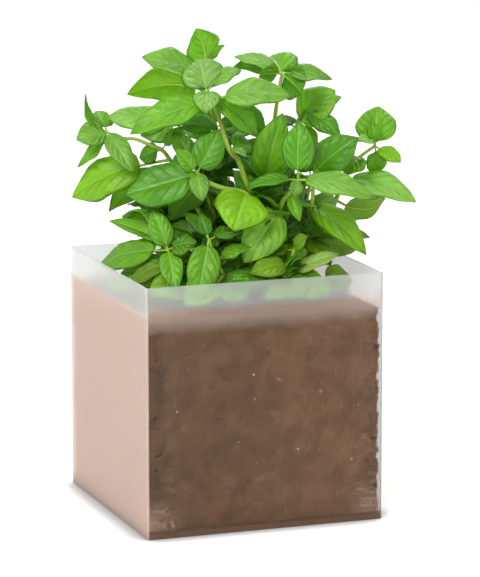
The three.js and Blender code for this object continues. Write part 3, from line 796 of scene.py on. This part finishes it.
def leafy_stem_tree(finishes):
    nodes = GeometryNodes("leafy stem", {"Steps": 60, "Dome": 0.18, "Puff": 0.16, "Wave": 0.1})
    ends = {"Geometry": nodes.source, "Selection": nodes.read("is_leaf").over(0.5)}
    split = nodes.add("GeometryNodeSeparateGeometry", {}, ends)
    leaf = LeafWires(nodes)
    leaves, path = split["Selection"], split["Inverted"]
    plain = nodes.mark(nodes.join(stem_tube(nodes, path), ribs(nodes, leaves, leaf)), STEM_PART)
    whole = nodes.join(plain, blades(nodes, leaves, leaf))
    whole = nodes.add("GeometryNodeSetShadeSmooth", {}, {"Geometry": whole})
    nodes.deliver(whole, finishes)
    return nodes


CUPS = (-0.12, 0.10)  # how far a blade's halves fold down or up, as slopes
TWIST_MOST = 0.25
RIB_LEAST, RIB_BY_WIDTH = 0.28, 0.021  # a rib's radius in mm, and what each mm of its blade's width adds
TINT_UNEVEN = 0.1


def stem_source(index, points, leaves, thick, thin):
    """A stem's path and one loose point for each leaf, with all that the tree reads as attributes."""
    foot = points[0].copy()
    foot.z = STEM_FOOT
    path = [foot, *points]
    mesh = bpy.data.meshes.new("source")
    places = [place * MM for place in path + [blade.base for blade in leaves]]
    mesh.from_pydata(places, [(i, i + 1) for i in range(len(path) - 1)], [])

    def put(name, kind, field, values):
        attribute = mesh.attributes.new(name, kind, "POINT")
        attribute.data.foreach_set(field, values)

    first = len(path)
    chances = [scatter(TINT_SEED + 37 * index + i) for i in range(len(leaves))]
    spares = [scatter(TWIST_SEED + 41 * index + i) for i in range(len(leaves))]
    values = {
        "is_leaf": [1.0] * len(leaves),
        "long": [(blade.tip - blade.base).length * MM for blade in leaves],
        "wide": [blade.width * MM for blade in leaves],
        "arch": [blade.arch for blade in leaves],
        "stalk": [blade.stalk for blade in leaves],
        "cup": [CUPS[0] + (CUPS[1] - CUPS[0]) * chance for chance in chances],
        "twist": [TWIST_MOST * (2 * spare - 1) for spare in spares],
        "phase": [FULL_TURN * chance for chance in chances],
        "rib": [(RIB_LEAST + RIB_BY_WIDTH * blade.width) * MM for blade in leaves],
    }
    for name, numbers in values.items():
        put(name, "FLOAT", "value", [0.0] * first + numbers)
    girths = [(thick + (thin - thick) * max(i - 1, 0) / (first - 2)) / 2 * MM for i in range(first)]
    put("girth", "FLOAT", "value", girths + [0.0] * len(leaves))
    vectors = {
        "base": [blade.base * MM for blade in leaves],
        "along": [(blade.tip - blade.base).normalized() for blade in leaves],
        "across": [blade.across for blade in leaves],
        "face": [blade.face for blade in leaves],
    }
    for name, each in vectors.items():
        put(name, "FLOAT_VECTOR", "vector", [x for v in [Vector()] * first + each for x in v])
    tints = [(*STEM_LOOK, 1.0)] * first
    for blade, spare in zip(leaves, spares):
        shift = 1 + TINT_UNEVEN * (2 * spare - 1)
        tints.append((*(x * shift for x in LEAF_LOOKS[blade.look]), 1.0))
    put("tint", "FLOAT_COLOR", "color", [x for tint in tints for x in tint])
    return mesh


# ---- Finishes ----
class Finish(Nodes):
    """Writes a material's nodes. Patterns lie in the object's own metres."""

    def __init__(self, name):
        self.material = bpy.data.materials.new(name)
        self.material.use_nodes = True
        self.material.node_tree.nodes.clear()
        super().__init__(self.material.node_tree)
        self.place = self.add("ShaderNodeTexCoord")["Object"]

    def attribute(self, name, output):
        return self.add("ShaderNodeAttribute", {"attribute_name": name})[output]

    def relief(self, height, depth, strength=1.0):
        """A normal that raises the surface by up to depth metres where height is 1."""
        ends = {"Height": height, "Distance": depth, "Strength": strength}
        return self.add("ShaderNodeBump", {}, ends)

    def gloss(self, colour, roughness, normal=None, **constants):
        ends = {"Base Color": colour, "Roughness": roughness}
        ends.update({name.replace("_", " "): value for name, value in constants.items()})
        if normal is not None:
            ends["Normal"] = normal
        return self.add("ShaderNodeBsdfPrincipled", {}, ends)

    def lit_through(self, colour):
        """A shader that shows the light from behind, in one colour."""
        return self.add("ShaderNodeBsdfTranslucent", {}, {"Color": colour})

    def blended(self, factor, first, second):
        return self.add("ShaderNodeMixShader", {}, {0: factor, 1: first, 2: second})

    def done(self, shader):
        self.add("ShaderNodeOutputMaterial", {}, {"Surface": shader})
        return self.material


# The finishes' colours are in linear light, and the scales of their patterns count per metre.
VEIN_PALE = (0.13, 0.22, 0.05)
UNDERSIDE_DULL = (0.28, 0.40, 0.13)
THROUGH_DEEP, THROUGH_SUNNY = (0.345, 0.666, 0.007), (0.545, 0.955, 0.040)  # light through a leaf
GREEN_DEEP, GREEN_SUNNY = 0.2986, 0.5884  # the green of the leaf colours that these two go with
STALK_GREEN = (0.36, 0.50, 0.05)
SOIL_DARK, SOIL_LIGHT = (0.170, 0.084, 0.037), (0.285, 0.147, 0.068)
PAINTED_HOLLOW_SHADE = (0.110, 0.050, 0.022)
FIBRE_PALE, ROOTED_PALE = (0.60, 0.38, 0.24), (0.60, 0.38, 0.26)
ROOT_DULL, ROOT_BRIGHT = (0.72, 0.52, 0.39), (1.0, 0.82, 0.68)
# The rosy and glow milk colours are painted light: the soil's colour scattered in the frost.
MILK_WHITE, MILK_SOIL_LIGHT, MILK_GLOW = (0.86, 0.88, 0.86), (0.83, 0.65, 0.565), (0.86, 0.62, 0.52)
MILK_EARTHY = (0.270, 0.163, 0.104)
SHADOW_TINT = (0.9, 0.9, 0.9)
WALL_BLEND = 0.2 * MM  # the depth within which one wall's look goes over into the next one's
CORNER_START, CORNER_END = 46 * MM, 66 * MM  # from the pot's middle, where the pale roots begin and are full
CORNER_LOW, CORNER_HIGH = 6 * MM, 26 * MM


def leaf_finish(name, under):
    """A blade's upper face is glossy, with sunken veins. Its underside is paler, with raised ones."""
    nodes = Finish(name)
    u, b, _ = nodes.attribute("blade", "Vector").parts()
    tint = nodes.attribute("tint", "Color")
    grain = nodes.noise(nodes.place, 420, 4, 0.6)
    patches = nodes.noise(nodes.place, 75, 3)
    wrinkles = nodes.noise(nodes.place, 230, 2, 0.4)
    cells = nodes.add("ShaderNodeTexVoronoi", {"feature": "DISTANCE_TO_EDGE"},
                      {"Vector": nodes.place, "Scale": 620.0})
    net = cells.eased(0.0, 0.12, 1, 0)
    gap = vein_gap(u, b)
    fade = abs(u).eased(0.7, 0.95, 1, 0)
    side_vein = gap.eased(0.02, 0.09, 1, 0) * fade
    quilt = (gap * 2) ** 0.6 * fade * abs(u).eased(0.0, 0.3)
    middle = abs(u).eased(0.025, 0.075, 1, 0)
    # The quilt term lightens the puffs between the side veins and darkens the grooves by them: painted light
    # and shade of the relief. Patches and grain are the leaf's own uneven tone.
    shade = tint * (patches.eased(0.3, 0.7) * 0.3 + quilt * 0.16 + grain * 0.24 + (0.66 if under else 0.54))
    pale = tint * 0.8 + VEIN_PALE
    colour = nodes.mix(side_vein * (0.45 if under else 0.4) + net * 0.08, shade, pale)
    colour = nodes.mix(middle * 0.85, colour, pale)
    if under:
        colour = nodes.mix(0.22, colour, UNDERSIDE_DULL)
    height = quilt * 0.8 + wrinkles * 0.5 + grain * 0.08 + net * (0.08 if under else -0.05)
    normal = nodes.relief(height * (-1 if under else 1), 1.1 * MM, 0.9)
    roughness = grain * 0.16 + (0.52 if under else 0.26)
    skin = nodes.gloss(colour, roughness, normal, Specular_IOR_Level=0.3 if under else 0.6)
    sunny = (tint.parts()[1] - GREEN_DEEP) / (GREEN_SUNNY - GREEN_DEEP)
    through = nodes.blended(sunny.at_least(0).at_most(1), nodes.lit_through(THROUGH_DEEP),
                            nodes.lit_through(THROUGH_SUNNY))
    return nodes.done(nodes.blended(0.4 - side_vein * 0.03 - middle * 0.06, skin, through))


def stem_finish():
    """Soft green stems and stalks with fine lengthwise streaks and a faint waxy sheen."""
    nodes = Finish("stem skin")
    tint = nodes.attribute("tint", "Color")
    streaks = nodes.noise(nodes.place * (900, 900, 60), 1.0, 3)
    patches = nodes.noise(nodes.place, 90, 2)
    colour = nodes.mix(0.45, tint, STALK_GREEN) * (streaks * 0.5 + patches * 0.4 + 0.5)
    normal = nodes.relief(streaks, 0.12 * MM, 0.5)
    return nodes.done(nodes.gloss(colour, streaks * 0.2 + 0.35, normal, Specular_IOR_Level=0.4,
                                  Subsurface_Weight=0.25, Subsurface_Scale=1 * MM))


def lower_corners(nodes):
    """Where the roots show: the block's lower corners, from 0 to 1."""
    x, y, z = nodes.place.parts()
    sideways = abs(x).eased(CORNER_START, CORNER_END) * abs(y).eased(CORNER_START, CORNER_END)
    return sideways * z.eased(CORNER_LOW, CORNER_HIGH, 1, 0)


def soil_finish():
    """Damp potting soil: dark crumbs among lighter fibres, paler where roots run along its lower corners."""
    nodes = Finish("potting soil")
    lumps = nodes.noise(nodes.place, 110, 5, 0.65)
    crumbs = nodes.add("ShaderNodeTexVoronoi", {}, {"Vector": nodes.place, "Scale": 480.0})
    fine = nodes.noise(nodes.place, 900, 4, 0.7)
    colour = nodes.mix(lumps.eased(0.35, 0.65), SOIL_DARK, SOIL_LIGHT)
    # Painted shade: the soil is darker in the hollows between crumbs, where its relief sinks.
    colour = nodes.mix(crumbs.eased(0.1, 0.6, 0, 0.4), colour, PAINTED_HOLLOW_SHADE)
    colour = nodes.mix(fine.eased(0.64, 0.76, 0, 0.6), colour, FIBRE_PALE)
    x = nodes.place.parts()[0]
    rooted = lower_corners(nodes) * fine.eased(0.3, 0.6, 0.3, 0.9) * x.eased(-50 * MM, 50 * MM, 1, 0.6)
    # The soil is made darker towards the pot's -X side and lighter towards +X.
    colour = nodes.mix(rooted, colour, ROOTED_PALE) * x.eased(-POT_HALF, POT_HALF, 0.84, 1.09)
    normal = nodes.relief(lumps * 0.5 + fine * 0.5 - crumbs * 0.4, 1.2 * MM)
    return nodes.done(nodes.gloss(colour, fine * 0.2 + 0.75, normal, Specular_IOR_Level=0.1))


def root_finish():
    """Fine roots and pale grains at the soil's sides, brightest at its lower corners."""
    nodes = Finish("root fibre")
    patches = nodes.noise(nodes.place, 300, 3)
    colour = nodes.mix(patches.eased(0.3, 0.7), ROOT_DULL, ROOT_BRIGHT)
    colour = colour * lower_corners(nodes).eased(0, 0.2, 0.62, 1)
    return nodes.done(nodes.gloss(colour, patches * 0.2 + 0.6, nodes.relief(patches, 0.1 * MM)))


def frosted_finish():
    """Frosted plastic: what stands behind it blurs with distance. Its broad left wall is milkier: partly the
    wider gap to the soil there, partly painted light from the lamp on that side. Painted soil light tints the
    milk, and painted shade darkens it towards the foot.
    """
    nodes = Finish("frosted plastic")
    x, y, z = nodes.place.parts()
    inside = POT_HALF - WALL
    left = (x * -1).eased(inside - WALL_BLEND, inside)
    far = x.at_least(y).eased(inside - WALL_BLEND, inside)
    low = z.eased(SOIL_LEVEL - 2 * MM, SOIL_LEVEL + 4 * MM, 1, 0)
    misty = z.eased(SOIL_LEVEL - 11 * MM, SOIL_LEVEL + 3 * MM) * (1 - left)
    glow = z.eased(SOIL_LEVEL + 1 * MM, SOIL_LEVEL + 7 * MM, 1, 0) * misty
    edge = z.eased(FLOOR + 0.4 * MM, FLOOR + 4 * MM, 1, 0) * (1 - left)
    at_foot = (edge * 9).at_most(1)
    cloud = nodes.noise(nodes.place, 25, 3)
    grain = nodes.noise(nodes.place, 1500, 2)
    # Painted light: the milk takes the soil's colour on the left wall below the soil line, and in a band just
    # above the soil on the other walls.
    milk_tint = nodes.mix(left * low, MILK_WHITE, MILK_SOIL_LIGHT)
    milk_tint = nodes.mix(glow, milk_tint, MILK_GLOW)
    # The milk is darkened towards the foot of the pot: painted shade.
    milk_tint = nodes.mix(at_foot, milk_tint, MILK_EARTHY) * z.eased(0, 16 * MM, 0.88, 1)
    normal = nodes.relief(grain, 0.02 * MM, 0.4)
    rough = grain * 0.06 + low * 0.24 + 0.28
    passing = (1 - low) * (0.2 - far * 0.3) + 0.78
    clear = nodes.gloss(passing * (1, 1, 1), rough, normal, Transmission_Weight=1.0, IOR=1.18)
    lit = nodes.gloss(milk_tint, 1.0, Specular_IOR_Level=0.0)
    # The same painted soil light in the light that the milk lets through.
    rosy = nodes.blended((left * low).at_least(glow), nodes.lit_through(MILK_WHITE),
                         nodes.lit_through(MILK_SOIL_LIGHT))
    through = nodes.blended(at_foot, rosy, nodes.lit_through(MILK_EARTHY))
    milk = nodes.blended(0.4, lit, through)
    # The left wall's extra milk is partly its wider gap to the soil, partly painted light from the lamp on
    # that side.
    haze = (left * (low * 0.3 + 0.22) + misty * 0.25 + edge * 0.8 + cloud * 0.015).at_most(1)
    wall = nodes.blended(haze, clear, milk)
    unseen = nodes.add("ShaderNodeBsdfTransparent", {}, {"Color": SHADOW_TINT})
    shadow = nodes.add("ShaderNodeLightPath")["Is Shadow Ray"]
    return nodes.done(nodes.blended(shadow, wall, unseen))


# ---- The soil ----
SOIL_FACE, ROOT_FACE = 0, 1
SOIL_GRID = (90, 90, 76)  # vertices of the block along X, Y and Z
SOIL_ROUND_UNDER, SOIL_ROUND_OVER = (Vector((radius, radius, radius)) * MM for radius in (0.8, 1.5))
EDGE_START, EDGE_END = 58 * MM, 66 * MM  # from the block's middle, where its torn edge begins and is full
FRAYED_START, FRAYED_END = 48 * MM, 62 * MM  # and where roots begin and are dense
FRAYED_LOW, FRAYED_HIGH = 10 * MM, 28 * MM
# In mm, the least radius and what chance adds to it.
CRUMB_RADII, FRINGE_RADII, SPECK_RADII = (0.35, 1.1), (0.5, 2.4), (0.2, 0.5)
ROOT_LENGTHS, ROOT_STEPS, ROOT_SIDES = (2.0, 8.0), 9, 4
ROOT_RADIUS, ROOT_WIGGLE = 0.08 * MM, 3 * MM
ROOT_STANDS_OUT = 1.014  # how much farther from the block's middle the roots lie than its faces
CLEARANCE = 0.1 * MM


def rounded_block(nodes, low, high):
    """A block of fine faces with round edges, rounder over its middle than under it."""
    size, centre = high - low, (low + high) / 2
    ends = {"Size": size, "Vertices X": SOIL_GRID[0], "Vertices Y": SOIL_GRID[1], "Vertices Z": SOIL_GRID[2]}
    block = nodes.add("GeometryNodeMeshCube", {}, ends)["Mesh"]
    upper = nodes.place.parts()[2].eased(0, size.z / 2 - SOIL_ROUND_OVER.z)
    radii = upper * (SOIL_ROUND_OVER - SOIL_ROUND_UNDER) + SOIL_ROUND_UNDER
    reach = radii * -1 + size / 2
    core = nodes.place.at_least(reach * -1).at_most(reach)
    outward = ((nodes.place - core) / radii + (0, 0, 1e-6)).unit()
    length = nodes.add("ShaderNodeVectorMath", {"operation": "LENGTH"}, {0: nodes.place - core})["Value"]
    rounded = core + outward * radii * length.over(1e-5) + centre
    return nodes.move(block, position=rounded)


def soil_tree(low, high, finishes):
    nodes = GeometryNodes("potting soil", {"Lump": 1.3 * MM, "Crumb": 0.9 * MM, "Crumbs": 36000.0,
                                           "Fringe": 500000.0, "Roots": 150000.0, "Grains": 9000.0})
    block = rounded_block(nodes, low, high)
    normal = nodes.add("GeometryNodeInputNormal")
    lumps = nodes.noise(nodes.place, 95, 4, 0.6)
    crumbs = nodes.noise(nodes.place, 420, 3, 0.7)
    sunk = (lumps - 0.25).at_least(0) * nodes.size("Lump") + (crumbs - 0.3).at_least(0) * nodes.size("Crumb")
    block = nodes.move(block, offset=normal * (sunk * -1))
    block = nodes.mark(block, SOIL_FACE)
    block = nodes.add("GeometryNodeSetShadeSmooth", {}, {"Geometry": block})

    x, y, z = nodes.place.parts()
    middle = (low + high) / 2
    off_x, off_y = abs(x - middle.x), abs(y - middle.y)
    on_top = normal.parts()[2].over(0.5)
    upright = 1 - abs(normal.parts()[2]).over(0.5)
    by_edge = upright * off_x.eased(EDGE_START, EDGE_END) * off_y.eased(EDGE_START, EDGE_END)
    by_corner = off_x.eased(FRAYED_START, FRAYED_END) * off_y.eased(FRAYED_START, FRAYED_END)
    frayed = upright * (by_corner * z.eased(FRAYED_LOW, FRAYED_HIGH, 1, 0) + by_edge * 0.1)
    grain = nodes.add("GeometryNodeMeshIcoSphere", {}, {"Radius": 1.0, "Subdivisions": 1})["Mesh"]
    grain, speck = nodes.mark(grain, SOIL_FACE), nodes.mark(grain, ROOT_FACE)

    def sown(where, density, seed):
        ends = {"Mesh": block, "Selection": where.over(0.001), "Density": density, "Seed": seed}
        return nodes.add("GeometryNodeDistributePointsOnFaces", {}, ends)

    def strewn(instance, where, density, radii, seed, size_seed):
        """Copies that lie on the block, each turned and sized by chance."""
        least, more = radii
        radius = (nodes.chance(0.0, 1.0, size_seed) ** 3 * more + least) * MM
        return nodes.copies(sown(where, density, seed), instance, rotation=turn, scale=radius)

    turn = nodes.add("FunctionNodeRandomValue", {"data_type": "FLOAT_VECTOR"},
                     {"Min": (0, 0, 0), "Max": (FULL_TURN, FULL_TURN, FULL_TURN), "Seed": 5})
    spread = strewn(grain, on_top, nodes.size("Crumbs"), CRUMB_RADII, 1, 2)
    fringe = strewn(grain, by_edge, nodes.size("Fringe") * by_edge, FRINGE_RADII, 6, 2)
    specks = strewn(speck, upright, nodes.size("Grains"), SPECK_RADII, 3, 4)
    line = nodes.straight_line(ROOT_STEPS)
    rooted = sown(frayed, nodes.size("Roots") * frayed, 7)
    spin = nodes.add("ShaderNodeCombineXYZ", {}, {"Z": nodes.chance(0.0, FULL_TURN, 8)})
    fibres = nodes.copies(rooted, line, rotation=rooted["Rotation"],
                          scale=nodes.chance(*ROOT_LENGTHS, 9) * MM)
    fibres = nodes.add("GeometryNodeRotateInstances", {}, {"Instances": fibres, "Rotation": spin})
    wiggle = nodes.add("ShaderNodeTexNoise", {}, {"Vector": nodes.place, "Scale": 260.0})["Color"]
    bent = (nodes.place - middle) * ROOT_STANDS_OUT + middle + (wiggle - (0.5, 0.5, 0.5)) * ROOT_WIGGLE
    fibres = nodes.tube(nodes.move(nodes.realized(fibres), position=bent), ROOT_RADIUS, ROOT_SIDES)
    fibres = nodes.mark(fibres, ROOT_FACE)
    whole = nodes.realized(nodes.join(block, spread, fringe, specks, fibres))
    reach = POT_HALF - WALL - CLEARANCE
    kept_in = nodes.place.at_least((-reach, -reach, FLOOR + CLEARANCE)).at_most((reach, reach, 1))
    nodes.deliver(nodes.move(whole, position=kept_in), finishes)
    return nodes


def soil_piece(finishes):
    nodes = soil_tree(*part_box("soil"), finishes)
    return plain_mesh("soil block", bpy.data.meshes.new("nothing"), nodes)


# ---- The pot ----
LIP_STEPS = 5
CORNER_STEPS = 5
FOOT_ROUND = 0.4 * MM  # at the pot's lower outer edge and round its floor
LEAST_CORNER = 0.2 * MM


def rounded_square(half, radius, z):
    """The corners of a level square with round corners, in order round it."""
    points = []
    for corner in range(4):
        for step in range(CORNER_STEPS):
            angle = math.pi / 2 * (corner + step / (CORNER_STEPS - 1))
            centre_x = (half - radius) * (1 if corner in (0, 3) else -1)
            centre_y = (half - radius) * (1 if corner in (0, 1) else -1)
            points.append((centre_x + radius * math.cos(angle), centre_y + radius * math.sin(angle), z))
    return points


def pot_mesh():
    """One wall from the middle of the underside up the outside, over a rounded lip and down to the floor."""
    round_off = WALL / 2
    rings = [(POT_HALF - FOOT_ROUND, 0), (POT_HALF, FOOT_ROUND)]
    for step in range(LIP_STEPS):
        angle = math.pi * step / (LIP_STEPS - 1)
        rings.append((POT_HALF - round_off + round_off * math.cos(angle),
                      POT_HEIGHT - round_off + round_off * math.sin(angle)))
    rings += [(POT_HALF - WALL, FLOOR + FOOT_ROUND), (POT_HALF - WALL - FOOT_ROUND, FLOOR)]
    corners, faces, around = [], [], 4 * CORNER_STEPS
    for half, z in rings:
        radius = max(POT_CORNER - (POT_HALF - half), LEAST_CORNER)
        corners += rounded_square(half, radius, z)
    for ring in range(len(rings) - 1):
        for i in range(around):
            a, b = ring * around + i, ring * around + (i + 1) % around
            faces.append((a, b, b + around, a + around))
    top = (len(rings) - 1) * around
    faces.append(tuple(reversed(range(around))))
    faces.append(tuple(range(top, top + around)))
    mesh = bpy.data.meshes.new("pot")
    mesh.from_pydata(corners, [], faces)
    mesh.validate()
    return mesh


frosted = frosted_finish()
soil_finishes = [soil_finish(), root_finish()]
stem_finishes = [stem_finish(), leaf_finish("leaf upper face", False), leaf_finish("leaf underside", True)]

box_mesh = pot_mesh()
box_mesh.materials.append(frosted)
piece("frosted_pot", box_mesh, "pot")
piece("potting_soil", soil_piece(soil_finishes), "soil")

stem_tree = leafy_stem_tree(stem_finishes)
grown = [(row, row.thick, row.thin, *grow_seen(row, i)) for i, row in enumerate(SEEN_STEMS)]
grown += [(row, HIDDEN_THICK, HIDDEN_THIN, *grow_hidden(row, i)) for i, row in enumerate(HIDDEN_STEMS)]
for index, (row, thick, thin, points, leaves) in enumerate(grown):
    source = stem_source(index, points, leaves, thick, thin)
    mesh = plain_mesh("stem", source, stem_tree)
    piece("leafy_stem_" + row.name, mesh, "stem_" + row.name)


# ---- Stage and light ----
TABLE_HALF = 3.0
PAINTED_SHADOW_REACH = 18 * MM  # how far from the pot the painted contact shadow reaches
PAINTED_SHADOW_DARKEST = 0.34
TABLE_WHITE, TABLE_GLOW = 0.93, 0.27
SURROUND_STRENGTH = 0.8


def set_stage():
    """A white table that runs on into a white surround, so that only the pot's soft shadow shows on it; near
    the pot that shadow is painted, darkening the table's colour and glow by ambient occlusion.
    """
    mesh = bpy.data.meshes.new("table")
    corners = [(x * TABLE_HALF, y * TABLE_HALF, 0) for x, y in ((-1, -1), (1, -1), (1, 1), (-1, 1))]
    mesh.from_pydata(corners, [], [(0, 1, 2, 3)])
    table = bpy.data.objects.new("table", mesh)
    bpy.context.scene.collection.objects.link(table)
    nodes = Finish("white table")
    open_air = nodes.add("ShaderNodeAmbientOcclusion", {"samples": 12}, {"Distance": PAINTED_SHADOW_REACH})["AO"]
    # Painted contact shadow: near the pot the table's colour and glow darken by ambient occlusion.
    shade = open_air.eased(0.45, 0.98, PAINTED_SHADOW_DARKEST, 1) * (1, 1, 1)
    matt = nodes.gloss(shade * TABLE_WHITE, 0.8, Emission_Color=shade, Emission_Strength=TABLE_GLOW)
    mesh.materials.append(nodes.done(matt))
    world = bpy.data.worlds.new("white surround")
    world.use_nodes = True
    background = world.node_tree.nodes["Background"]
    background.inputs["Color"].default_value = (1, 1, 1, 1)
    background.inputs["Strength"].default_value = SURROUND_STRENGTH
    bpy.context.scene.world = world


def add_light(name, place, target, size, power):
    light = bpy.data.objects.new(name, bpy.data.lights.new(name, "AREA"))
    light.data.size, light.data.energy = size, power
    light.location = place
    light.rotation_euler = (Vector(place) - Vector(target)).to_track_quat("Z", "Y").to_euler()
    bpy.context.scene.collection.objects.link(light)


set_stage()
add_light("soft box left", place=(-0.9, -0.7, 1.3), target=(0, 0, 0.15), size=0.7, power=16)
add_light("soft box behind", place=(0.5, 0.9, 1.2), target=(0, 0, 0.18), size=0.8, power=6)
bpy.context.scene.view_settings.view_transform = "Standard"
bpy.context.scene.view_settings.look = "None"
